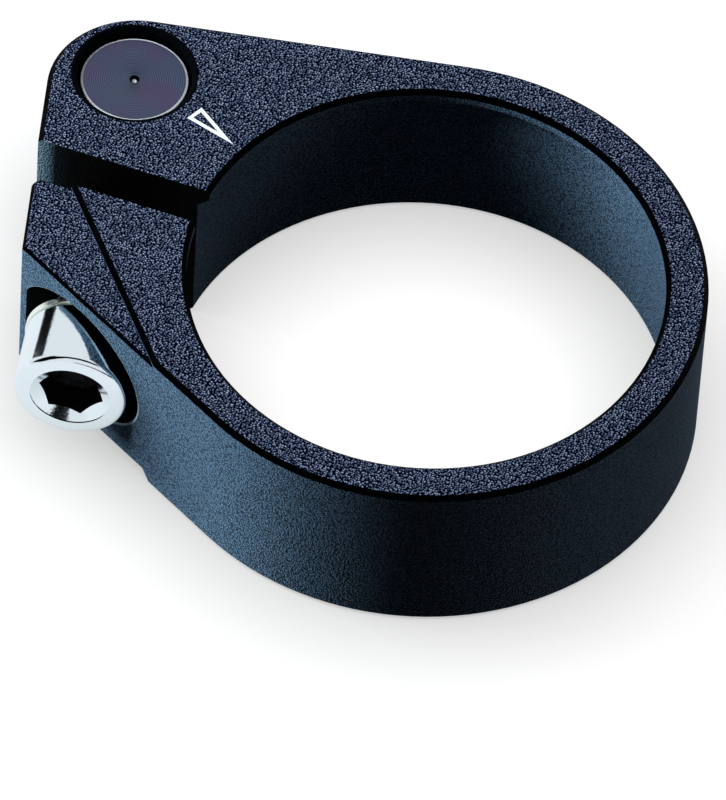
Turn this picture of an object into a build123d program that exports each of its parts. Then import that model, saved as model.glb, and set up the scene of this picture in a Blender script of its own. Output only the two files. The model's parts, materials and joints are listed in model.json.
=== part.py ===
from build123d import *
import math
import os

# Seatpost clamp, millimetres. The bore's axis is Z and the collar's lower face is z = 0.
# The slot lies along -X, the barrel nut stands on its +Y side and the bolt's head on its -Y side.

# Ring
bore_radius = 17.45
ring_wall = 2.1
collar_height = 13.5
lip_depth = 0.85
lip_height = 0.9
edge_break = 0.35

# Slot and lugs. Each straight side is a line at an angle from the bore's axis: the angle is that
# of its outward normal, in degrees, and a distance is measured along that normal.
slot_width = 2.9
nut_side_angle = 101.3
end_side_angle = 194.4
end_side_distance = 28.03
lug_corner_radius = 6.4
slot_corner_radius = 0.7

# Bolt boss: a slanted face tangent to the ring, and a crease where it steps down from the ring
boss_face_angle = -118.3
boss_crease_angle = -139.5
boss_crease_distance = 20.5
boss_top_step = 0.4
boss_bottom_step = 1.0
boss_edge_break = 0.2

# Barrel nut
nut_diameter = 8.0
nut_clearance = 0.05
nut_back = 25.2
nut_side = 9.6
nut_recess = 0.8
nut_edge = 0.2
nut_centre_radius = 0.35
nut_centre_depth = 0.35
nut_hole_edge = 0.25

# Bolt and washer. Lengths along the bolt start at the nut's axis. The bolt is drawn as supplied,
# not yet tightened: washer_clearance is the washer's way to its seat, and the bolt goes in as far.
bolt_tilt = 10.5
bolt_diameter = 5.0
bolt_length = 20.0
bolt_point = 0.5
bolt_hole_clearance = 0.65
bolt_end_room = 0.5
thread_clearance = 0.05
head_diameter = 8.05
head_height = 5.1
head_round = 0.5
head_foot_edge = 0.2
key_size = 4.0
key_depth = 2.6
key_turn = 18.0
key_drill_point = 0.5
key_mouth_step = 0.12
key_countersink = 0.52
key_countersink_angle = 30.0
seat_distance = 17.05
pocket_clearance = 0.65
pocket_edge = 0.1
washer_clearance = 1.65
washer_thickness = 0.5
washer_overhang = 0.1
washer_edge = 0.08
washer_bore_clearance = 0.1

# Worked out from the sizes above
ring_radius = bore_radius + ring_wall
lip_radius = bore_radius - lip_depth
boss_bottom = boss_bottom_step
boss_top = collar_height - boss_top_step
bolt_height = (boss_bottom + boss_top) / 2
nut_radius = nut_diameter / 2
nut_hole_radius = nut_radius + nut_clearance
nut_point = Vector(-nut_back, nut_side, 0)
washer_radius = head_diameter / 2 + washer_overhang
washer_seat = seat_distance + washer_clearance
head_seat = washer_seat + washer_thickness
bolt_end = head_seat - bolt_length
bolt_hole_end = bolt_end - washer_clearance - bolt_end_room
pocket_radius = washer_radius + pocket_clearance
overall_reach = end_side_distance + ring_radius + head_height

bolt_direction = Vector(0, -1, 0).rotate(Axis.Z, bolt_tilt)
bolt_plane = Plane(
    origin=nut_point + Vector(0, 0, bolt_height),
    x_dir=Vector(0, 0, 1),
    z_dir=bolt_direction,
)


def along(angle, distance=1.0):
    """The point at a distance from the bore's axis, in plan, at an angle in degrees."""
    turn = math.radians(angle)
    return Vector(distance * math.cos(turn), distance * math.sin(turn), 0)


def crossing(first_angle, first_distance, second_angle, second_distance):
    """Where two lines in plan cross, each given by its normal's angle and its distance."""
    first = along(first_angle)
    second = along(second_angle)
    spread = first.X * second.Y - first.Y * second.X
    x = (first_distance * second.Y - second_distance * first.Y) / spread
    y = (first.X * second_distance - second.X * first_distance) / spread
    return Vector(x, y, 0)


def broken_edges(solid, size):
    """Chamfer the rims of a prism's upper and lower faces."""
    upright = solid.faces().sort_by(Axis.Z)
    return chamfer(upright[0].edges() + upright[-1].edges(), size)


def ring_and_nut_lug():
    """The full-height part of the collar: a ring whose far side runs out to the nut's lug."""
    corner = crossing(
        nut_side_angle,
        ring_radius - lug_corner_radius,
        end_side_angle,
        end_side_distance - lug_corner_radius,
    )
    slot_end = crossing(end_side_angle, end_side_distance, 90, 0)
    crease_start = crossing(boss_crease_angle, boss_crease_distance, 90, 0)
    crease_end = crossing(boss_crease_angle, boss_crease_distance, boss_face_angle, ring_radius)
    face_end = along(boss_face_angle, ring_radius)
    nut_side_start = along(nut_side_angle, ring_radius)
    nut_side_end = corner + along(nut_side_angle, lug_corner_radius)
    end_side_start = corner + along(end_side_angle, lug_corner_radius)
    outline = [
        CenterArc((0, 0), ring_radius, boss_face_angle, nut_side_angle - boss_face_angle),
        Line(nut_side_start, nut_side_end),
        CenterArc(corner, lug_corner_radius, nut_side_angle, end_side_angle - nut_side_angle),
        Polyline(end_side_start, slot_end, crease_start, crease_end, face_end),
    ]
    return broken_edges(extrude(make_face(Curve() + outline), collar_height), edge_break)


def bolt_boss():
    """The lower block that takes the bolt's head, run on into the ring so that the two are one."""
    slot_face = -slot_width / 2
    slot_corner = crossing(end_side_angle, end_side_distance, 90, slot_face)
    face_corner = crossing(end_side_angle, end_side_distance, boss_face_angle, ring_radius)
    crease_end = crossing(boss_crease_angle, boss_crease_distance, boss_face_angle, ring_radius)
    face_end = along(boss_face_angle, ring_radius)
    inside = along(boss_crease_angle, bore_radius)
    slot_inside = Vector(-bore_radius, slot_face, 0)
    outline = make_face(
        Polyline(
            slot_inside,
            slot_corner,
            face_corner,
            (crease_end + face_end) / 2,
            inside,
            close=True,
        )
    )
    rounded = outline.vertices().sort_by_distance(slot_corner)[0]
    outline = fillet(rounded, slot_corner_radius)
    block = extrude(outline, boss_top - boss_bottom)
    return Pos(0, 0, boss_bottom) * broken_edges(block, boss_edge_break)


def bore_cutter():
    """The seat tube's bore, with the lip at the top that stops the collar on the tube's end."""
    lip_foot = collar_height - lip_height
    profile = Polyline(
        (0, 0),
        (bore_radius + edge_break, 0),
        (bore_radius, edge_break),
        (bore_radius, lip_foot - lip_depth),
        (lip_radius, lip_foot),
        (lip_radius, collar_height - edge_break),
        (lip_radius + edge_break, collar_height),
        (0, collar_height),
        close=True,
    )
    return revolve(Plane.XZ * make_face(profile), Axis.Z)


def nut_hole_cutter():
    """The nut's upright hole, with both rims broken."""
    profile = Polyline(
        (0, 0),
        (nut_hole_radius + nut_hole_edge, 0),
        (nut_hole_radius, nut_hole_edge),
        (nut_hole_radius, collar_height - nut_hole_edge),
        (nut_hole_radius + nut_hole_edge, collar_height),
        (0, collar_height),
        close=True,
    )
    return Pos(nut_point) * revolve(Plane.XZ * make_face(profile), Axis.Z)


def rod(start, end, radius):
    """A cylinder on the bolt's axis, between two distances from the nut's axis."""
    upward = (Align.CENTER, Align.CENTER, Align.MIN)
    return bolt_plane.offset(start) * Cylinder(radius, end - start, align=upward)


def pocket_rim_cutter():
    """Breaks the pocket's rim, an ellipse on the slanted face, down to where the seat runs out of it."""
    outward = along(boss_face_angle)
    lean = outward.dot(bolt_direction)
    rim_distance = (ring_radius - nut_point.dot(outward)) / lean
    sections = []
    for depth in (-pocket_edge, pocket_edge):
        spread = pocket_edge - depth
        on_axis = bolt_plane.offset(rim_distance - depth / lean).origin
        section_plane = Plane(on_axis, x_dir=Vector(0, 0, 1), z_dir=outward)
        sections.append(section_plane * Ellipse(pocket_radius + spread, pocket_radius / lean + spread))
    return loft(sections) & rod(seat_distance, overall_reach, 2 * pocket_radius)


def clamp_collar():
    collar = ring_and_nut_lug() + bolt_boss()
    to_the_left = (Align.MAX, Align.CENTER, Align.MIN)
    collar -= Box(overall_reach, slot_width, collar_height, align=to_the_left)
    collar -= bore_cutter()
    collar -= nut_hole_cutter()
    collar -= rod(bolt_hole_end, seat_distance, bolt_diameter / 2 + bolt_hole_clearance)
    collar -= rod(seat_distance, overall_reach, pocket_radius)
    return collar - pocket_rim_cutter()


def barrel_nut():
    """An upright dowel with turned ends, a lathe centre in the top and the bolt's cross hole."""
    length = collar_height - 2 * nut_recess
    profile = Polyline(
        (0, 0),
        (nut_radius - nut_edge, 0),
        (nut_radius, nut_edge),
        (nut_radius, length - nut_edge),
        (nut_radius - nut_edge, length),
        (nut_centre_radius, length),
        (0, length - nut_centre_depth),
        close=True,
    )
    dowel = revolve(Plane.XZ * make_face(profile), Axis.Z)
    dowel = Pos(nut_point + Vector(0, 0, nut_recess)) * dowel
    return dowel - rod(-nut_diameter, nut_diameter, bolt_diameter / 2 + thread_clearance)


def clamp_bolt():
    """A socket-head bolt: shank, head with a rounded front rim, stepped, countersunk and drilled socket."""
    to_the_top = (Align.CENTER, Align.CENTER, Align.MAX)
    shank_radius = bolt_diameter / 2
    head_radius = head_diameter / 2
    key_corner = key_size / math.sqrt(3)
    mouth_radius = key_corner + key_countersink
    mouth_depth = mouth_radius * math.tan(math.radians(key_countersink_angle))
    step_foot = head_height - key_mouth_step
    profile = Polyline(
        (0, -bolt_length),
        (shank_radius - bolt_point, -bolt_length),
        (shank_radius, bolt_point - bolt_length),
        (shank_radius, 0),
        (head_radius - head_foot_edge, 0),
        (head_radius, head_foot_edge),
        (head_radius, head_height - head_round),
    )
    rim = RadiusArc(
        (head_radius, head_height - head_round),
        (head_radius - head_round, head_height),
        -head_round,
    )
    front = Polyline(
        (head_radius - head_round, head_height),
        (mouth_radius, head_height),
        (mouth_radius, step_foot),
        (0, step_foot - mouth_depth),
        (0, -bolt_length),
    )
    body = revolve(Plane.XZ * make_face(Curve() + [profile, rim, front]), Axis.Z)
    hexagon = RegularPolygon(key_corner, 6, rotation=key_turn)
    socket_foot = head_height - key_depth
    body -= Pos(0, 0, socket_foot) * extrude(hexagon, key_depth)
    body -= Pos(0, 0, socket_foot) * Cone(0, key_size / 2, key_drill_point, align=to_the_top)
    return bolt_plane.offset(head_seat) * body


def bolt_washer():
    hole_radius = bolt_diameter / 2 + washer_bore_clearance
    profile = Polyline(
        (hole_radius, 0),
        (washer_radius - washer_edge, 0),
        (washer_radius, washer_edge),
        (washer_radius, washer_thickness - washer_edge),
        (washer_radius - washer_edge, washer_thickness),
        (hole_radius, washer_thickness),
        close=True,
    )
    return bolt_plane.offset(washer_seat) * revolve(Plane.XZ * make_face(profile), Axis.Z)


nodes = {
    "clamp_collar": clamp_collar,
    "barrel_nut": barrel_nut,
    "clamp_bolt": clamp_bolt,
    "bolt_washer": bolt_washer,
}

os.makedirs("parts", exist_ok=True)
for name, make in nodes.items():
    export_step(make(), f"parts/{name}.step")
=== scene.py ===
import json
import math

import bmesh
import bpy
from mathutils import Matrix, Vector


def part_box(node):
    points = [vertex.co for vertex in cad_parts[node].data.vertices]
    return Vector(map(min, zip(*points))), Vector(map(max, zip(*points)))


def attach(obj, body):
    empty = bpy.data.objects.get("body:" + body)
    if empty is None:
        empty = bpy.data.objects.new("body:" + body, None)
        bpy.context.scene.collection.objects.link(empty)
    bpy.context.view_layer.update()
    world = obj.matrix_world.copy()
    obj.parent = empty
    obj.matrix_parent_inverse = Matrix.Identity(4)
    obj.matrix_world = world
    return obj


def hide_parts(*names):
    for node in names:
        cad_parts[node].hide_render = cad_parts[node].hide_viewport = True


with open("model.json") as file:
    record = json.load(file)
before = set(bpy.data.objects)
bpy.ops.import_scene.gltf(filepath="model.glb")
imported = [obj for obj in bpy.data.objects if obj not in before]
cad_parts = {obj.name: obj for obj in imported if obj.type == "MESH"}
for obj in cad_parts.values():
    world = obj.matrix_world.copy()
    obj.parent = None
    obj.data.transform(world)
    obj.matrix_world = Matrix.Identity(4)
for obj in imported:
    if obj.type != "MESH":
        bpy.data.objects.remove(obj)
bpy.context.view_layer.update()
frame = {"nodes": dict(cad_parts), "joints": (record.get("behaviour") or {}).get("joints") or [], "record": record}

# Seatpost clamp. Sizes are in millimetres and MM turns them into the frame's metres.
# +Z is up along the bore, the slot lies along -X and the bolt's head points to -Y.
MM = 0.001
record = frame["record"]
mounts = {mount["name"]: mount for mount in record["mounts"]}
joints = {joint["name"]: joint for joint in frame["joints"]}

# Camera, at the photograph's viewing angle. The image's long side is 800 pixels.
CAMERA_AZIMUTH = 17.1
CAMERA_ELEVATION = 51.38
CAMERA_ROLL = 3.79
CAMERA_DISTANCE = 842.7
CAMERA_SIDE_STEP = -3.82
CAMERA_RISE = -0.38
CAMERA_LENS = 542.0
CAMERA_NEAR = 50.0
CAMERA_FAR = 20000.0

# Bolt: the sizes of the CAD bolt, and the M5 thread that it leaves plain
SHANK_DIAMETER = 5.0
SHANK_LENGTH = 20.0
SHANK_POINT = 0.5
HEAD_DIAMETER = 8.05
HEAD_HEIGHT = 5.1
HEAD_ROUND = 0.5
HEAD_UNDERCUT = 0.2
KEY_SIZE = 4.0
KEY_DEPTH = 2.6
KEY_TURN = 18.0
KEY_MOUTH_STEP = 0.12
KEY_MOUTH_MARGIN = 0.52
KEY_CONE_ANGLE = 30.0
KEY_DRILL_POINT = 0.5
HEAD_COLUMNS = 96
HEAD_ROUND_STEPS = 6
BOLT_CREASE_ANGLE = 28.0
THREAD_PITCH = 0.8
THREAD_DEPTH = 0.49
THREAD_COLUMNS = 72
THREAD_ROWS_PER_TURN = 12

# Where the thread's flank leaves its crest and meets its root, as shares of half a pitch
THREAD_CREST = 0.15
THREAD_ROOT = 0.88

# Barrel nut: the CAD nut's sizes, how far its turned top stands above it, and its edge line, painted as a
# highlight
NUT_RADIUS = 4.0
NUT_EDGE = 0.2
NUT_RISE = 0.12
NUT_CENTRE_RADIUS = 0.35
NUT_LINE_RADIUS = 3.77
NUT_LINE_WIDTH = 0.13
NUT_LINE_DROP = 0.06
NUT_CREASE_ANGLE = 20.0
WELD_DISTANCE = 0.001

# Printed pointer on the collar's top, an outlined triangle that points at the bore
POINTER_TIP = (-16.5, 6.09)
POINTER_BASE = (-20.06, 7.78)
POINTER_WIDTH = 1.4
POINTER_LINE = 0.27
INK_HALF_THICKNESS = 0.008

# Collar: the cuts, painted dark as shade, with painted light at the slot's mouth and on the pocket's rim
SLOT_WIDTH = 2.9
SLOT_MOUTH = -29.3
SLOT_DARK = -26.8
POCKET_RADIUS = 4.775
POCKET_RIM = 0.1
SEAT_DISTANCE = 17.05
NUT_HOLE_RIM = 4.47
CUT_MARGIN = 0.01

# How level a face is, as the upright share of its normal: walls lie below WALL_LIMIT, broken edges
# from EDGE_START to EDGE_END, and upper and lower faces above LEVEL_LIMIT
WALL_LIMIT = 0.25
EDGE_START = 0.4
EDGE_END = 0.86
LEVEL_LIMIT = 0.97

# Finishes: the sizes of their patterns, and shares from 0 to 1
WALL_GRAIN = 0.15
LEVEL_GRAIN = 0.17
GRAIN_DEPTH = 0.07
LEVEL_SCATTER = 0.85
LEVEL_VARIETY = 0.3
LEVEL_RELIEF = 0.3
WALL_SHEEN = 0.72
SOCKET_STAIN = 0.5
TURNING_MARK = 0.16
TURNING_DEPTH = 0.004
TEMPER_PATCH = 3.0
POLISH_HAZE = 0.9
HAZE_SPREAD = 0.4
PLATE_PEEL = 0.15
PLATE_PEEL_DEPTH = 0.004


def linear(hex_value):
    """An sRGB hex colour as linear red, green, blue and alpha."""
    parts = [int(hex_value[i:i + 2], 16) / 255 for i in (1, 3, 5)]
    return [p / 12.92 if p <= 0.04045 else ((p + 0.055) / 1.055) ** 2.4 for p in parts] + [1.0]


def add(tree, kind, inputs=None, stops=(), **settings):
    """Adds a node with its settings, and sets or links its inputs.

    A ramp's stops are pairs of a position and a hex colour.
    """
    made = tree.nodes.new(kind)
    for name, value in settings.items():
        setattr(made, name, value)
    for key, value in (inputs or {}).items():
        if isinstance(value, bpy.types.NodeSocket):
            tree.links.new(value, made.inputs[key])
        else:
            made.inputs[key].default_value = value
    elements = made.color_ramp.elements if stops else []
    while len(elements) < len(stops):
        elements.new(0.5)
    for element, (position, hex_value) in zip(elements, stops):
        element.position = position
        element.color = linear(hex_value)
    return made


def empty_tree(owner):
    """The node tree of a material or a world, switched on and emptied."""
    owner.use_nodes = True
    owner.node_tree.nodes.clear()
    return owner.node_tree


def new_material(name):
    """A material, its node tree and its Principled shader."""
    material = bpy.data.materials.new(name)
    tree = empty_tree(material)
    shader = add(tree, "ShaderNodeBsdfPrincipled")
    add(tree, "ShaderNodeOutputMaterial", {"Surface": shader.outputs["BSDF"]})
    return material, tree, shader


def slot_masks(tree, spot):
    """1 inside the collar's slot, on the bore's -X side, and the way in from its mouth as 0 to 1."""
    sides = add(tree, "ShaderNodeSeparateXYZ", {"Vector": spot}).outputs
    off_middle = add(tree, "ShaderNodeMath", {0: sides["Y"]}, operation="ABSOLUTE").outputs[0]
    in_width = add(
        tree,
        "ShaderNodeMath",
        {0: off_middle, 1: (SLOT_WIDTH / 2 + CUT_MARGIN) * MM},
        operation="LESS_THAN",
    ).outputs[0]
    on_slot_side = add(
        tree,
        "ShaderNodeMath",
        {0: sides["X"], 1: 0.0},
        operation="LESS_THAN",
    ).outputs[0]
    in_slot = add(
        tree,
        "ShaderNodeMath",
        {0: in_width, 1: on_slot_side},
        operation="MULTIPLY",
    ).outputs[0]
    way_in = add(
        tree,
        "ShaderNodeMapRange",
        {"Value": sides["X"], "From Min": SLOT_MOUTH * MM, "From Max": SLOT_DARK * MM},
    ).outputs["Result"]
    return in_slot, way_in


def hole_masks(tree, spot, nut_point, bolt_axis):
    """1 inside the nut's hole and the bolt's pocket, and 1 from the pocket out to its rim."""
    from_nut = add(
        tree,
        "ShaderNodeVectorMath",
        {0: spot, 1: nut_point},
        operation="SUBTRACT",
    ).outputs[0]
    flat = add(
        tree,
        "ShaderNodeVectorMath",
        {0: from_nut, 1: (1, 1, 0)},
        operation="MULTIPLY",
    ).outputs[0]
    off_nut = add(tree, "ShaderNodeVectorMath", {0: flat}, operation="LENGTH").outputs["Value"]
    in_nut_hole = add(
        tree,
        "ShaderNodeMath",
        {0: off_nut, 1: NUT_HOLE_RIM * MM},
        operation="LESS_THAN",
    ).outputs[0]
    across = add(
        tree,
        "ShaderNodeVectorMath",
        {0: from_nut, 1: bolt_axis},
        operation="CROSS_PRODUCT",
    ).outputs[0]
    off_bolt = add(tree, "ShaderNodeVectorMath", {0: across}, operation="LENGTH").outputs["Value"]
    along_bolt = add(
        tree,
        "ShaderNodeVectorMath",
        {0: from_nut, 1: bolt_axis},
        operation="DOT_PRODUCT",
    ).outputs["Value"]
    past_seat = add(
        tree,
        "ShaderNodeMath",
        {0: along_bolt, 1: (SEAT_DISTANCE - CUT_MARGIN) * MM},
        operation="GREATER_THAN",
    ).outputs[0]
    in_pocket_width = add(
        tree,
        "ShaderNodeMath",
        {0: off_bolt, 1: (POCKET_RADIUS + CUT_MARGIN) * MM},
        operation="LESS_THAN",
    ).outputs[0]
    in_pocket = add(
        tree,
        "ShaderNodeMath",
        {0: in_pocket_width, 1: past_seat},
        operation="MULTIPLY",
    ).outputs[0]
    in_hole = add(
        tree,
        "ShaderNodeMath",
        {0: in_nut_hole, 1: in_pocket},
        operation="MAXIMUM",
    ).outputs[0]
    in_rim_width = add(
        tree,
        "ShaderNodeMath",
        {0: off_bolt, 1: (POCKET_RADIUS + POCKET_RIM) * MM},
        operation="LESS_THAN",
    ).outputs[0]
    in_rim = add(
        tree,
        "ShaderNodeMath",
        {0: in_rim_width, 1: past_seat},
        operation="MULTIPLY",
    ).outputs[0]
    return in_hole, in_rim


def blasted_black_anodised(nut_point, bolt_axis):
    """Black anodised aluminium, bead-blasted: slate blue with near-black pits and pale glints.

    The upper and lower faces are a purple slate with more contrast. The walls are a dark slate, with
    the sheen of blasted grain as they turn away. The broken edges between them are painted the deepest
    black, as shade. The slot, the bolt's pocket and the nut's hole are painted a smooth dead black, as
    shade, with painted light at the slot's mouth and a painted highlight on the pocket's rim.
    The real grains are about 0.1 mm apart. They are drawn about 0.15 mm apart, as coarse as the picture
    needs to show them.
    """
    material, tree, shader = new_material("blasted_black_anodised")
    place = add(tree, "ShaderNodeTexCoord").outputs
    spot = place["Object"]

    # The grain, which is evener on the level faces, where some grains carry brighter painted glints than others
    wall_pit = add(
        tree,
        "ShaderNodeTexVoronoi",
        {"Vector": spot, "Scale": 1 / (WALL_GRAIN * MM)},
    ).outputs["Distance"]
    level_grains = add(
        tree,
        "ShaderNodeTexVoronoi",
        {"Vector": spot, "Scale": 1 / (LEVEL_GRAIN * MM), "Randomness": LEVEL_SCATTER},
        voronoi_dimensions="2D",
    ).outputs
    level_shine = add(
        tree,
        "ShaderNodeMath",
        {0: level_grains["Color"], 1: LEVEL_VARIETY, 2: level_grains["Distance"]},
        operation="MULTIPLY_ADD",
    ).outputs[0]
    wall_colour = add(
        tree,
        "ShaderNodeValToRGB",
        {"Fac": wall_pit},
        stops=[(0.2, "#556e81"), (0.5, "#283546"), (0.75, "#07090c")],
    ).outputs["Color"]
    # The level faces' pale stops are painted glints
    level_colour = add(
        tree,
        "ShaderNodeValToRGB",
        {"Fac": level_shine},
        stops=[(0.09, "#d3dae6"), (0.34, "#46506b"), (0.53, "#2d374f"), (0.63, "#000108")],
    ).outputs["Color"]

    # Which way a face looks: level faces, walls, and the broken edges between them
    upright = add(tree, "ShaderNodeSeparateXYZ", {"Vector": place["Normal"]}).outputs["Z"]
    levelness = add(tree, "ShaderNodeMath", {0: upright}, operation="ABSOLUTE").outputs[0]
    level_share = add(
        tree,
        "ShaderNodeMapRange",
        {"Value": levelness, "From Min": EDGE_END, "From Max": LEVEL_LIMIT},
    ).outputs["Result"]
    # The broken edges are painted near black, as shade, by how level they lie
    painted_edge_shade = add(
        tree,
        "ShaderNodeValToRGB",
        {"Fac": levelness},
        stops=[
            (WALL_LIMIT, "#ffffff"),
            (EDGE_START, "#101010"),
            (EDGE_END, "#101010"),
            (LEVEL_LIMIT, "#ffffff"),
        ],
    ).outputs["Color"]
    face_colour = add(
        tree,
        "ShaderNodeMix",
        {0: level_share, 6: wall_colour, 7: level_colour},
        data_type="RGBA",
    ).outputs[2]
    blasted_colour = add(
        tree,
        "ShaderNodeMix",
        {0: 1.0, 6: face_colour, 7: painted_edge_shade},
        data_type="RGBA",
        blend_type="MULTIPLY",
    ).outputs[2]

    # The painted light and shade of the cuts over the blasted colour, each over the one before
    in_slot, way_in = slot_masks(tree, spot)
    in_hole, in_rim = hole_masks(tree, spot, nut_point, bolt_axis)
    # In the slot, painted light at the mouth fading to painted shade further in
    slot_painted_light_and_shade = add(
        tree,
        "ShaderNodeValToRGB",
        {"Fac": way_in},
        stops=[(0.0, "#9dbccb"), (0.27, "#6f8f9f"), (0.52, "#151d22"), (1.0, "#040506")],
    ).outputs["Color"]
    # Painted shade in the nut's hole, round its rim, and in the bolt's pocket
    hole_painted_shade = add(
        tree,
        "ShaderNodeValToRGB",
        {"Fac": wall_pit},
        stops=[(0.2, "#05070a"), (0.8, "#010203")],
    ).outputs["Color"]
    # A painted highlight along the pocket's rim
    rim_painted_highlight = linear("#a4c0cd")
    colour = blasted_colour
    for mask, painted_cut_colour in ((in_rim, rim_painted_highlight), (in_hole, hole_painted_shade), (in_slot, slot_painted_light_and_shade)):
        colour = add(
            tree,
            "ShaderNodeMix",
            {0: mask, 6: colour, 7: painted_cut_colour},
            data_type="RGBA",
        ).outputs[2]

    # The sheen, on the walls alone, and off the cuts so that their painted shade stays dark
    wall_sheen = add(
        tree,
        "ShaderNodeMapRange",
        {
            "Value": levelness,
            "From Min": WALL_LIMIT,
            "From Max": EDGE_START,
            "To Min": WALL_SHEEN,
            "To Max": 0.0,
        },
    ).outputs["Result"]
    in_cut = add(tree, "ShaderNodeMath", {0: in_hole, 1: in_slot}, operation="MAXIMUM").outputs[0]
    uncut = add(tree, "ShaderNodeMath", {0: 1.0, 1: in_cut}, operation="SUBTRACT").outputs[0]
    sheen = add(tree, "ShaderNodeMath", {0: wall_sheen, 1: uncut}, operation="MULTIPLY").outputs[0]

    # The grain's relief, which is lower on the level faces
    depth = add(
        tree,
        "ShaderNodeMix",
        {0: level_share, 2: wall_pit, 3: level_grains["Distance"]},
    ).outputs[0]
    relief = add(
        tree,
        "ShaderNodeMapRange",
        {"Value": level_share, "To Min": 1.0, "To Max": LEVEL_RELIEF},
    ).outputs["Result"]
    bump = add(
        tree,
        "ShaderNodeBump",
        {"Height": depth, "Distance": GRAIN_DEPTH * MM, "Strength": relief},
        invert=True,
    )
    tree.links.new(colour, shader.inputs["Base Color"])
    tree.links.new(sheen, shader.inputs["Sheen Weight"])
    tree.links.new(bump.outputs["Normal"], shader.inputs["Normal"])
    shader.inputs["Roughness"].default_value = 0.55
    shader.inputs["Specular IOR Level"].default_value = 0.01
    shader.inputs["Sheen Roughness"].default_value = 0.4
    shader.inputs["Sheen Tint"].default_value = linear("#98c0e1")
    return material


def bright_chrome(name, hex_value, roughness):
    """Bright chrome plate on steel: a near mirror, with a faint haze left by polishing.

    The steel's own grain shows through as a fine orange peel, which breaks up the edges of what it
    mirrors. It is drawn 0.15 mm wide, as coarse as the picture needs to show it.
    """
    material, tree, shader = new_material(name)
    place = add(tree, "ShaderNodeTexCoord")
    haze = add(
        tree,
        "ShaderNodeTexNoise",
        {"Vector": place.outputs["Object"], "Scale": 1 / (POLISH_HAZE * MM), "Detail": 4.0},
    )
    gloss = add(
        tree,
        "ShaderNodeMapRange",
        {
            "Value": haze.outputs["Fac"],
            "To Min": (1 - HAZE_SPREAD) * roughness,
            "To Max": (1 + HAZE_SPREAD) * roughness,
        },
    )
    peel = add(
        tree,
        "ShaderNodeTexNoise",
        {"Vector": place.outputs["Object"], "Scale": 1 / (PLATE_PEEL * MM), "Detail": 1.0},
    )
    bump = add(
        tree,
        "ShaderNodeBump",
        {"Height": peel.outputs["Fac"], "Distance": PLATE_PEEL_DEPTH * MM, "Strength": 1.0},
    )
    tree.links.new(gloss.outputs["Result"], shader.inputs["Roughness"])
    tree.links.new(bump.outputs["Normal"], shader.inputs["Normal"])
    shader.inputs["Base Color"].default_value = linear(hex_value)
    shader.inputs["Metallic"].default_value = 1.0
    return material


def socket_painted_shade():
    """Dull, nearly black metal down in the punched socket: painted shade in the socket's recess. dull and nearly
    black.
    """
    material, tree, shader = new_material("socket_painted_shade")
    place = add(tree, "ShaderNodeTexCoord")
    stain = add(
        tree,
        "ShaderNodeTexNoise",
        {"Vector": place.outputs["Object"], "Scale": 1 / (SOCKET_STAIN * MM), "Detail": 3.0},
    )
    colour = add(
        tree,
        "ShaderNodeValToRGB",
        {"Fac": stain.outputs["Fac"]},
        stops=[(0.35, "#17191d"), (0.65, "#33363b")],
    )
    tree.links.new(colour.outputs["Color"], shader.inputs["Base Color"])
    shader.inputs["Metallic"].default_value = 1.0
    shader.inputs["Roughness"].default_value = 0.45
    return material


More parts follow.
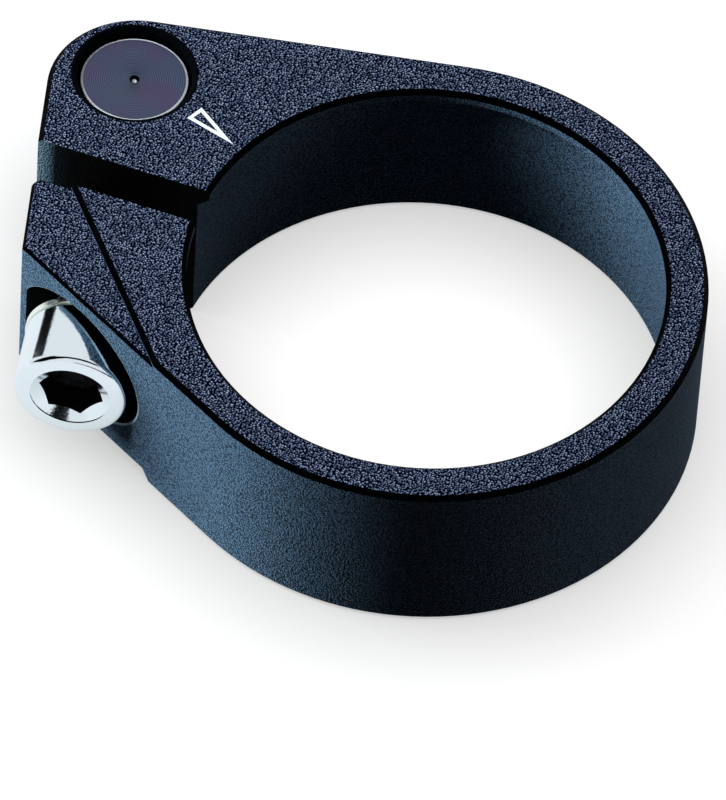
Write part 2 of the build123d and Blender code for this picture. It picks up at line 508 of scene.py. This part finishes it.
def turned_steel(centre):
    """Darkened steel faced off on a lathe: fine rings round the nut's own axis, dull slate in colour.

    It is tempered in cool and warm patches. Its edge carries a painted highlight, a matt white line, and
    the lathe centre's dimple is a painted glint in a ring of painted shade.
    """
    material, tree, shader = new_material("turned_steel")
    place = add(tree, "ShaderNodeTexCoord")
    centred = add(
        tree,
        "ShaderNodeMapping",
        {"Vector": place.outputs["Object"], "Location": [-c for c in centre]},
    )

    # The wave texture's rings lie a tenth of pi apart at a scale of 1
    ring_scale = math.pi / 10 / (TURNING_MARK * MM)
    rings = add(
        tree,
        "ShaderNodeTexWave",
        {
            "Vector": centred.outputs["Vector"],
            "Scale": ring_scale,
            "Distortion": 1.2,
            "Detail Scale": 3.0,
        },
        wave_type="RINGS",
        rings_direction="Z",
    ).outputs["Fac"]
    tint = add(
        tree,
        "ShaderNodeTexNoise",
        {"Vector": place.outputs["Object"], "Scale": 1 / (TEMPER_PATCH * MM), "Detail": 1.0},
    ).outputs["Fac"]
    cool = add(
        tree,
        "ShaderNodeValToRGB",
        {"Fac": rings},
        stops=[(0.0, "#3b4255"), (1.0, "#535d77")],
    ).outputs["Color"]
    warm = add(
        tree,
        "ShaderNodeValToRGB",
        {"Fac": rings},
        stops=[(0.0, "#423f56"), (1.0, "#5b5577")],
    ).outputs["Color"]
    patches = add(
        tree,
        "ShaderNodeMapRange",
        {"Value": tint, "From Min": 0.42, "From Max": 0.58},
    ).outputs["Result"]
    face_colour = add(
        tree,
        "ShaderNodeMix",
        {0: patches, 6: cool, 7: warm},
        data_type="RGBA",
    ).outputs[2]

    # From the middle out: a painted glint, a ring of painted shade in the centre's dimple, the face and the
    # painted highlight of the edge line
    off_axis = add(
        tree,
        "ShaderNodeVectorMath",
        {0: centred.outputs["Vector"], 1: (1, 1, 0)},
        operation="MULTIPLY",
    )
    radius = add(tree, "ShaderNodeVectorMath", {0: off_axis.outputs["Vector"]}, operation="LENGTH")
    share = add(
        tree,
        "ShaderNodeMapRange",
        {"Value": radius.outputs["Value"], "From Max": NUT_RADIUS * MM},
    ).outputs["Result"]
    point_share = NUT_CENTRE_RADIUS / NUT_RADIUS
    line_share = (NUT_LINE_RADIUS - NUT_LINE_WIDTH) / NUT_RADIUS
    painted_highlight_zones = add(
        tree,
        "ShaderNodeValToRGB",
        {"Fac": share},
        stops=[
            (0.4 * point_share, "#ffffff"),
            (0.5 * point_share, "#000000"),
            (line_share - 0.005, "#000000"),
            (line_share, "#ffffff"),
        ],
    ).outputs["Color"]
    # Painted shade in the lathe centre's dimple
    centre_painted_shade = add(
        tree,
        "ShaderNodeValToRGB",
        {"Fac": share},
        stops=[
            (0.4 * point_share, "#ffffff"),
            (0.6 * point_share, "#0a0b0f"),
            (point_share, "#0a0b0f"),
            (1.1 * point_share, "#ffffff"),
        ],
    ).outputs["Color"]
    facing = add(tree, "ShaderNodeSeparateXYZ", {"Vector": place.outputs["Normal"]})
    level = add(tree, "ShaderNodeMath", {0: facing.outputs["Z"]}, operation="ABSOLUTE").outputs[0]
    outward = add(tree, "ShaderNodeMath", {0: level, 1: WALL_LIMIT}, operation="GREATER_THAN").outputs[0]
    # The edge line and the centre point are painted highlights, matt and less metallic
    painted_highlight_share = add(tree, "ShaderNodeMath", {0: painted_highlight_zones, 1: outward}, operation="MULTIPLY").outputs[0]
    highlighted_colour = add(
        tree,
        "ShaderNodeMix",
        {0: painted_highlight_share, 6: face_colour, 7: linear("#eef1f2")},
        data_type="RGBA",
    ).outputs[2]
    colour = add(
        tree,
        "ShaderNodeMix",
        {0: 1.0, 6: highlighted_colour, 7: centre_painted_shade},
        data_type="RGBA",
        blend_type="MULTIPLY",
    ).outputs[2]
    tree.links.new(colour, shader.inputs["Base Color"])
    metal = add(tree, "ShaderNodeMapRange", {"Value": painted_highlight_share, "To Min": 1.0, "To Max": 0.2})
    tree.links.new(metal.outputs["Result"], shader.inputs["Metallic"])
    bump = add(
        tree,
        "ShaderNodeBump",
        {"Height": rings, "Distance": TURNING_DEPTH * MM, "Strength": 0.6},
    )
    tree.links.new(bump.outputs["Normal"], shader.inputs["Normal"])
    shader.inputs["Roughness"].default_value = 0.4
    return material


def white_ink():
    """White pad-printed ink: matt and a little uneven where it bridges the blasted grain."""
    material, tree, shader = new_material("white_ink")
    place = add(tree, "ShaderNodeTexCoord")
    cover = add(
        tree,
        "ShaderNodeTexNoise",
        {"Vector": place.outputs["Object"], "Scale": 1 / (WALL_GRAIN * MM), "Detail": 2.0},
    )
    colour = add(
        tree,
        "ShaderNodeValToRGB",
        {"Fac": cover.outputs["Fac"]},
        stops=[(0.3, "#dfe2e6"), (0.6, "#fbfbfb")],
    )
    tree.links.new(colour.outputs["Color"], shader.inputs["Base Color"])
    shader.inputs["Roughness"].default_value = 0.6
    return material


def piece_from(bm, name, *materials):
    """A bmesh as a named object at the origin, with outward normals and its materials."""
    bmesh.ops.recalc_face_normals(bm, faces=bm.faces)
    mesh = bpy.data.meshes.new(name)
    bm.to_mesh(mesh)
    bm.free()
    for material in materials:
        mesh.materials.append(material)
    piece = bpy.data.objects.new(name, mesh)
    bpy.context.scene.collection.objects.link(piece)
    return piece


def thread_tree():
    """Geometry nodes that cut a helical thread into a closed rod which stands on its point."""
    tree = bpy.data.node_groups.new("bolt_thread", "GeometryNodeTree")
    sizes = ("Radius", "Length", "Pitch", "Depth", "Point")
    for name in sizes:
        tree.interface.new_socket(name, in_out="INPUT", socket_type="NodeSocketFloat")
    for name in ("Columns", "Rows"):
        tree.interface.new_socket(name, in_out="INPUT", socket_type="NodeSocketInt")
    tree.interface.new_socket("Finish", in_out="INPUT", socket_type="NodeSocketMaterial")
    tree.interface.new_socket("Geometry", in_out="OUTPUT", socket_type="NodeSocketGeometry")
    given = add(tree, "NodeGroupInput").outputs
    rod = add(
        tree,
        "GeometryNodeMeshCylinder",
        {
            "Vertices": given["Columns"],
            "Side Segments": given["Rows"],
            "Radius": given["Radius"],
            "Depth": given["Length"],
        },
    )
    spot = add(tree, "GeometryNodeInputPosition").outputs["Position"]
    parts = add(tree, "ShaderNodeSeparateXYZ", {"Vector": spot}).outputs
    half = add(tree, "ShaderNodeMath", {0: given["Length"], 1: 0.5}, operation="MULTIPLY").outputs[0]
    height = add(tree, "ShaderNodeMath", {0: parts["Z"], 1: half}, operation="ADD").outputs[0]

    # How far along its turn of the helix a point is, and how deep the groove is there
    angle = add(tree, "ShaderNodeMath", {0: parts["Y"], 1: parts["X"]}, operation="ARCTAN2").outputs[0]
    turn = add(tree, "ShaderNodeMath", {0: angle, 1: math.tau}, operation="DIVIDE").outputs[0]
    turns = add(tree, "ShaderNodeMath", {0: height, 1: given["Pitch"]}, operation="DIVIDE").outputs[0]
    lead = add(tree, "ShaderNodeMath", {0: turns, 1: turn}, operation="SUBTRACT").outputs[0]
    phase = add(tree, "ShaderNodeMath", {0: lead}, operation="FRACT").outputs[0]
    centred = add(
        tree,
        "ShaderNodeMath",
        {0: phase, 1: 2.0, 2: -1.0},
        operation="MULTIPLY_ADD",
    ).outputs[0]
    flank = add(tree, "ShaderNodeMath", {0: centred}, operation="ABSOLUTE").outputs[0]
    groove = add(
        tree,
        "ShaderNodeMapRange",
        {"Value": flank, "From Min": THREAD_CREST, "From Max": THREAD_ROOT},
    ).outputs["Result"]
    cut = add(tree, "ShaderNodeMath", {0: groove, 1: given["Depth"]}, operation="MULTIPLY").outputs[0]
    threaded = add(tree, "ShaderNodeMath", {0: given["Radius"], 1: cut}, operation="SUBTRACT").outputs[0]

    # The point's bevel cuts the thread off at the rod's foot
    foot = add(
        tree,
        "ShaderNodeMath",
        {0: given["Radius"], 1: given["Point"]},
        operation="SUBTRACT",
    ).outputs[0]
    bevel = add(tree, "ShaderNodeMath", {0: foot, 1: height}, operation="ADD").outputs[0]
    radius = add(tree, "ShaderNodeMath", {0: threaded, 1: bevel}, operation="MINIMUM").outputs[0]
    share = add(tree, "ShaderNodeMath", {0: radius, 1: given["Radius"]}, operation="DIVIDE").outputs[0]
    side_x = add(tree, "ShaderNodeMath", {0: parts["X"], 1: share}, operation="MULTIPLY").outputs[0]
    side_y = add(tree, "ShaderNodeMath", {0: parts["Y"], 1: share}, operation="MULTIPLY").outputs[0]
    placed = add(tree, "ShaderNodeCombineXYZ", {"X": side_x, "Y": side_y, "Z": height})
    shaped = add(
        tree,
        "GeometryNodeSetPosition",
        {"Geometry": rod.outputs["Mesh"], "Position": placed.outputs["Vector"]},
    )
    real = add(tree, "GeometryNodeRealizeInstances", {"Geometry": shaped.outputs["Geometry"]})
    finished = add(
        tree,
        "GeometryNodeSetMaterial",
        {"Geometry": real.outputs["Geometry"], "Material": given["Finish"]},
    )
    add(tree, "NodeGroupOutput", {"Geometry": finished.outputs["Geometry"]})
    return tree


def evaluated_mesh(tree, values):
    """The plain mesh that a geometry node tree makes from its named inputs."""
    holder = bpy.data.objects.new("holder", bpy.data.meshes.new("holder"))
    bpy.context.scene.collection.objects.link(holder)
    modifier = holder.modifiers.new(tree.name, "NODES")
    modifier.node_group = tree
    for item in tree.interface.items_tree:
        if item.in_out == "INPUT":
            modifier[item.identifier] = values[item.name]
    bpy.context.view_layer.update()
    graph = bpy.context.evaluated_depsgraph_get()
    mesh = bpy.data.meshes.new_from_object(holder.evaluated_get(graph))
    bpy.data.objects.remove(holder)
    return mesh


def bolt_head(bm):
    """The bolt's head in rings, from under the head round the rim and down into the hexagon socket.

    The socket's walls and floor take the second material.
    """
    outer = HEAD_DIAMETER / 2
    apothem = KEY_SIZE / 2
    corner = apothem / math.cos(math.pi / 6)
    mouth = corner + KEY_MOUTH_MARGIN
    slope = math.tan(math.radians(KEY_CONE_ANGLE))
    step_foot = HEAD_HEIGHT - KEY_MOUTH_STEP
    floor = HEAD_HEIGHT - KEY_DEPTH

    def hexagon(angle):
        return apothem / math.cos(angle % (math.pi / 3) - math.pi / 6)

    def socket_edge(angle):
        return hexagon(angle), step_foot - (mouth - hexagon(angle)) * slope

    def socket_foot(angle):
        return hexagon(angle), floor

    def circle(radius, height):
        return lambda angle: (radius, height)

    rings = [circle(SHANK_DIAMETER / 2 - THREAD_DEPTH, 0.0), circle(outer - HEAD_UNDERCUT, 0.0)]
    rings.append(circle(outer, HEAD_UNDERCUT))
    for step in range(HEAD_ROUND_STEPS + 1):
        bend = math.radians(90 * step / HEAD_ROUND_STEPS)
        rise = HEAD_HEIGHT - HEAD_ROUND * (1 - math.sin(bend))
        rings.append(circle(outer - HEAD_ROUND * (1 - math.cos(bend)), rise))
    rings += [circle(mouth, HEAD_HEIGHT), circle(mouth, step_foot), socket_edge, socket_foot]
    rows = []
    for ring in rings:
        row = []
        for column in range(HEAD_COLUMNS):
            angle = math.tau * column / HEAD_COLUMNS
            radius, height = ring(angle)
            turned = angle + math.radians(KEY_TURN)
            row.append(bm.verts.new((radius * math.cos(turned), radius * math.sin(turned), height)))
        rows.append(row)
    for lower, upper in zip(rows, rows[1:]):
        for column in range(HEAD_COLUMNS):
            after = (column + 1) % HEAD_COLUMNS
            face = bm.faces.new((lower[column], lower[after], upper[after], upper[column]))
            face.material_index = int(upper is rows[-1])
    for row, height, finish in ((rows[0], 0.0, 0), (rows[-1], floor - KEY_DRILL_POINT, 1)):
        pole = bm.verts.new((0, 0, height))
        for column in range(HEAD_COLUMNS):
            face = bm.faces.new((row[column], row[(column + 1) % HEAD_COLUMNS], pole))
            face.material_index = finish


def threaded_bolt(plate, socket_steel):
    """The socket-head bolt with its thread, in place of the plain CAD bolt."""
    bm = bmesh.new()
    bolt_head(bm)
    thread = evaluated_mesh(
        thread_tree(),
        {
            "Radius": SHANK_DIAMETER / 2,
            "Length": SHANK_LENGTH,
            "Pitch": THREAD_PITCH,
            "Depth": THREAD_DEPTH,
            "Point": SHANK_POINT,
            "Columns": THREAD_COLUMNS,
            "Rows": round(THREAD_ROWS_PER_TURN * SHANK_LENGTH / THREAD_PITCH),
            "Finish": plate,
        },
    )
    thread.transform(Matrix.Translation((0, 0, -SHANK_LENGTH)))
    bm.from_mesh(thread)
    socket = mounts["hex_key_socket"]
    outward = Vector(socket["axis"]).normalized()
    upward = Vector((0, 0, 1))
    sideways = outward.cross(upward)
    front = Vector(socket["pos_m"])
    seat = front - outward * HEAD_HEIGHT * MM
    turn = Matrix((upward, sideways, outward)).transposed().to_4x4()
    bm.transform(Matrix.Translation(seat) @ turn @ Matrix.Scale(MM, 4))
    bolt = piece_from(bm, "socket_head_bolt", plate, socket_steel)
    bolt.data.shade_smooth()
    bolt.data.set_sharp_from_angle(angle=math.radians(BOLT_CREASE_ANGLE))
    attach(bolt, "bolt")
    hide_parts("clamp_bolt")


def turned_nut(material, nut_point):
    """The barrel nut with its top turned up to a thin edge line, painted as a highlight, near the collar's top
    face.
    """
    bm = bmesh.new()
    bm.from_mesh(frame["nodes"]["barrel_nut"].data)
    bmesh.ops.remove_doubles(bm, verts=bm.verts, dist=WELD_DISTANCE * MM)
    axis_point = Vector(nut_point)
    top = max(vert.co.z for vert in bm.verts)
    for vert in bm.verts:
        off_axis = Vector((vert.co.x - axis_point.x, vert.co.y - axis_point.y, 0))
        depth = (top - vert.co.z) / MM
        radius = off_axis.length / MM
        outer = radius > NUT_RADIUS / 2
        if outer and depth < NUT_EDGE / 2:
            # The top's rim becomes the line's inner edge
            vert.co += off_axis * ((NUT_LINE_RADIUS - NUT_LINE_WIDTH) / radius - 1)
        elif outer and depth < 1.5 * NUT_EDGE:
            # The foot of the top's bevel becomes the line's outer edge
            vert.co += off_axis * (NUT_LINE_RADIUS / radius - 1)
            vert.co.z += (NUT_EDGE - NUT_LINE_DROP) * MM
        elif outer or depth > NUT_RADIUS / 2:
            # The side, the foot and the cross hole stay, and the lathe centre goes up with the top
            continue
        vert.co.z += NUT_RISE * MM
    nut = piece_from(bm, "turned_barrel_nut", material)
    nut.data.shade_smooth()
    nut.data.set_sharp_from_angle(angle=math.radians(NUT_CREASE_ANGLE))
    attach(nut, "nut")
    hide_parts("barrel_nut")


def printed_pointer(material, top):
    """The outlined triangle printed on the collar's top face, half in the grain and half above it."""
    tip = Vector(POINTER_TIP)
    base = Vector(POINTER_BASE)
    across = (tip - base).orthogonal().normalized() * POINTER_WIDTH / 2
    outer = [tip, base + across, base - across]
    sides = [(outer[1] - outer[2]).length, (outer[2] - outer[0]).length, (outer[0] - outer[1]).length]
    middle = sum((corner * side for corner, side in zip(outer, sides)), Vector((0, 0))) / sum(sides)
    inside_radius = POINTER_WIDTH * (tip - base).length / sum(sides)
    inner = [middle + (corner - middle) * (1 - POINTER_LINE / inside_radius) for corner in outer]
    bm = bmesh.new()
    outer_row = [bm.verts.new((*corner, top - INK_HALF_THICKNESS)) for corner in outer]
    inner_row = [bm.verts.new((*corner, top - INK_HALF_THICKNESS)) for corner in inner]
    for here, after in ((0, 1), (1, 2), (2, 0)):
        bm.faces.new((outer_row[here], outer_row[after], inner_row[after], inner_row[here]))
    raised = bmesh.ops.extrude_face_region(bm, geom=list(bm.faces), use_keep_orig=True)
    lifted = [item for item in raised["geom"] if isinstance(item, bmesh.types.BMVert)]
    bmesh.ops.translate(bm, verts=lifted, vec=(0, 0, 2 * INK_HALF_THICKNESS))
    bm.transform(Matrix.Scale(MM, 4))
    pointer = piece_from(bm, "printed_pointer", material)
    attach(pointer, "collar")


def ray_seen(tree):
    """1 for rays that show the background: from the camera, off gloss and through glass."""
    path = add(tree, "ShaderNodeLightPath").outputs
    first = add(
        tree,
        "ShaderNodeMath",
        {0: path["Is Camera Ray"], 1: path["Is Glossy Ray"]},
        operation="MAXIMUM",
    )
    return add(
        tree,
        "ShaderNodeMath",
        {0: first.outputs[0], 1: path["Is Transmission Ray"]},
        operation="MAXIMUM",
    ).outputs[0]


def studio_floor(size, colour, white, shade_reach, shade_depth):
    """A white floor that keeps the clamp's soft shadow and sends little light back up at its walls."""
    bm = bmesh.new()
    bmesh.ops.create_grid(bm, x_segments=1, y_segments=1, size=size * MM)
    material = bpy.data.materials.new("floor_paper")
    tree = empty_tree(material)
    seen = ray_seen(tree)
    paper = add(tree, "ShaderNodeBsdfDiffuse", {"Color": linear(colour)})
    dark_paper = add(tree, "ShaderNodeBsdfDiffuse", {"Color": linear("#0d0d0d")})
    openness = add(tree, "ShaderNodeAmbientOcclusion", {"Distance": shade_reach * MM})
    shaded = add(
        tree,
        "ShaderNodeMapRange",
        {"Value": openness.outputs["AO"], "To Min": white * (1 - shade_depth), "To Max": white},
    )
    glow = add(tree, "ShaderNodeEmission", {"Strength": shaded.outputs["Result"]})
    lit = add(tree, "ShaderNodeAddShader", {0: paper.outputs[0], 1: glow.outputs[0]})
    both = add(tree, "ShaderNodeMixShader", {0: seen, 1: dark_paper.outputs[0], 2: lit.outputs[0]})
    add(tree, "ShaderNodeOutputMaterial", {"Surface": both.outputs[0]})
    floor = piece_from(bm, "floor", material)


def studio_world(fill):
    """White where it is seen, and a weak even fill for the rest."""
    world = bpy.data.worlds.new("studio")
    bpy.context.scene.world = world
    tree = empty_tree(world)
    seen = ray_seen(tree)
    weak = add(tree, "ShaderNodeBackground", {"Color": (1, 1, 1, 1), "Strength": fill})
    white = add(tree, "ShaderNodeBackground", {"Color": (1, 1, 1, 1), "Strength": 1.0})
    both = add(tree, "ShaderNodeMixShader", {0: seen, 1: weak.outputs[0], 2: white.outputs[0]})
    add(tree, "ShaderNodeOutputWorld", {"Surface": both.outputs[0]})


def way_to(azimuth, elevation):
    """The direction from the clamp to an azimuth and an elevation, both in degrees."""
    turn = math.radians(azimuth)
    rise = math.radians(elevation)
    return Vector((math.cos(turn) * math.cos(rise), math.sin(turn) * math.cos(rise), math.sin(rise)))


def softbox(name, azimuth, elevation, distance, width, height, power, colour):
    """A soft light, aimed at the clamp. The chrome mirrors the white room instead of the lamp."""
    lamp = bpy.data.lights.new(name, "AREA")
    lamp.shape = "RECTANGLE"
    lamp.size = width * MM
    lamp.size_y = height * MM
    lamp.energy = power
    lamp.color = linear(colour)[:3]
    holder = bpy.data.objects.new(name, lamp)
    way = way_to(azimuth, elevation)
    holder.location = way * distance * MM
    holder.rotation_mode = "QUATERNION"
    holder.rotation_quaternion = (-way).to_track_quat("-Z", "Y")
    holder.visible_glossy = False
    bpy.context.scene.collection.objects.link(holder)


def black_card(name, azimuth, elevation, distance, width, height):
    """A black card that only metal sees: it gives the chrome its dark bands, and casts no shadow."""
    bm = bmesh.new()
    bmesh.ops.create_grid(bm, x_segments=1, y_segments=1, size=0.5)
    way = way_to(azimuth, elevation)
    aim = (-way).to_track_quat("-Z", "Y").to_matrix().to_4x4()
    bm.transform(Matrix.Diagonal((width * MM, height * MM, 1, 1)))
    bm.transform(Matrix.Translation(way * distance * MM) @ aim)
    material, _, shader = new_material(name)
    shader.inputs["Base Color"].default_value = linear("#060606")
    shader.inputs["Specular IOR Level"].default_value = 0.0
    card = piece_from(bm, name, material)
    card.visible_camera = False
    card.visible_shadow = False
    card.visible_diffuse = False


def studio_camera():
    """The camera, looking down at the clamp from the side of the bolt's head."""
    turn = Matrix.Rotation(math.radians(CAMERA_AZIMUTH), 3, "Z")
    rise = math.radians(CAMERA_ELEVATION)
    roll = math.radians(CAMERA_ROLL)
    right = turn @ Vector((1, 0, 0))
    upward = turn @ Vector((0, math.sin(rise), math.cos(rise)))
    back = turn @ Vector((0, -math.cos(rise), math.sin(rise)))
    place = back * CAMERA_DISTANCE + right * CAMERA_SIDE_STEP + upward * CAMERA_RISE
    across = right * math.cos(roll) + upward * math.sin(roll)
    top = upward * math.cos(roll) - right * math.sin(roll)
    lens = bpy.data.cameras.new("camera")
    lens.lens = CAMERA_LENS
    lens.clip_start = CAMERA_NEAR * MM
    lens.clip_end = CAMERA_FAR * MM
    camera = bpy.data.objects.new("camera", lens)
    pose = Matrix((across, top, back)).transposed().to_4x4()
    camera.matrix_world = Matrix.Translation(place * MM) @ pose
    bpy.context.scene.collection.objects.link(camera)
    bpy.context.scene.camera = camera


def finish_node(node, material):
    """Gives a CAD node's object its finish."""
    for material_slot in frame["nodes"][node].material_slots:
        material_slot.material = material


chrome = bright_chrome("bright_chrome", "#d8e3ea", roughness=0.09)
washer_plate = bright_chrome("bright_washer_plate", "#e2ebe4", roughness=0.26)
nut_point = joints["nut_swivel"]["pos_m"]
bolt_axis = joints["bolt_turn"]["axis"]
finish_node("clamp_collar", blasted_black_anodised(nut_point, bolt_axis))
finish_node("bolt_washer", washer_plate)
threaded_bolt(chrome, socket_painted_shade())
turned_nut(turned_steel(nut_point), nut_point)
collar_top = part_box("clamp_collar")[1].z / MM
printed_pointer(white_ink(), collar_top)

studio_floor(size=4000, colour="#484848", white=1.0, shade_reach=9, shade_depth=0.62)
studio_world(fill=0.003)
softbox(
    "back_softbox",
    azimuth=107,
    elevation=64,
    distance=500,
    width=420,
    height=420,
    power=0.6,
    colour="#f4f6ff",
)
softbox(
    "left_softbox",
    azimuth=-174,
    elevation=26,
    distance=420,
    width=200,
    height=320,
    power=4.4,
    colour="#eef8ff",
)
softbox(
    "right_softbox",
    azimuth=22,
    elevation=22,
    distance=420,
    width=200,
    height=140,
    power=0.25,
    colour="#ffeef2",
)
black_card("left_back_card", azimuth=153, elevation=10, distance=700, width=170, height=270)
black_card("front_ceiling_card", azimuth=-73, elevation=72, distance=900, width=1600, height=420)
black_card("front_low_card", azimuth=-52, elevation=6, distance=700, width=875, height=140)
black_card("left_front_card", azimuth=-142, elevation=33, distance=800, width=650, height=700)
studio_camera()
bpy.context.scene.view_settings.view_transform = "Standard"
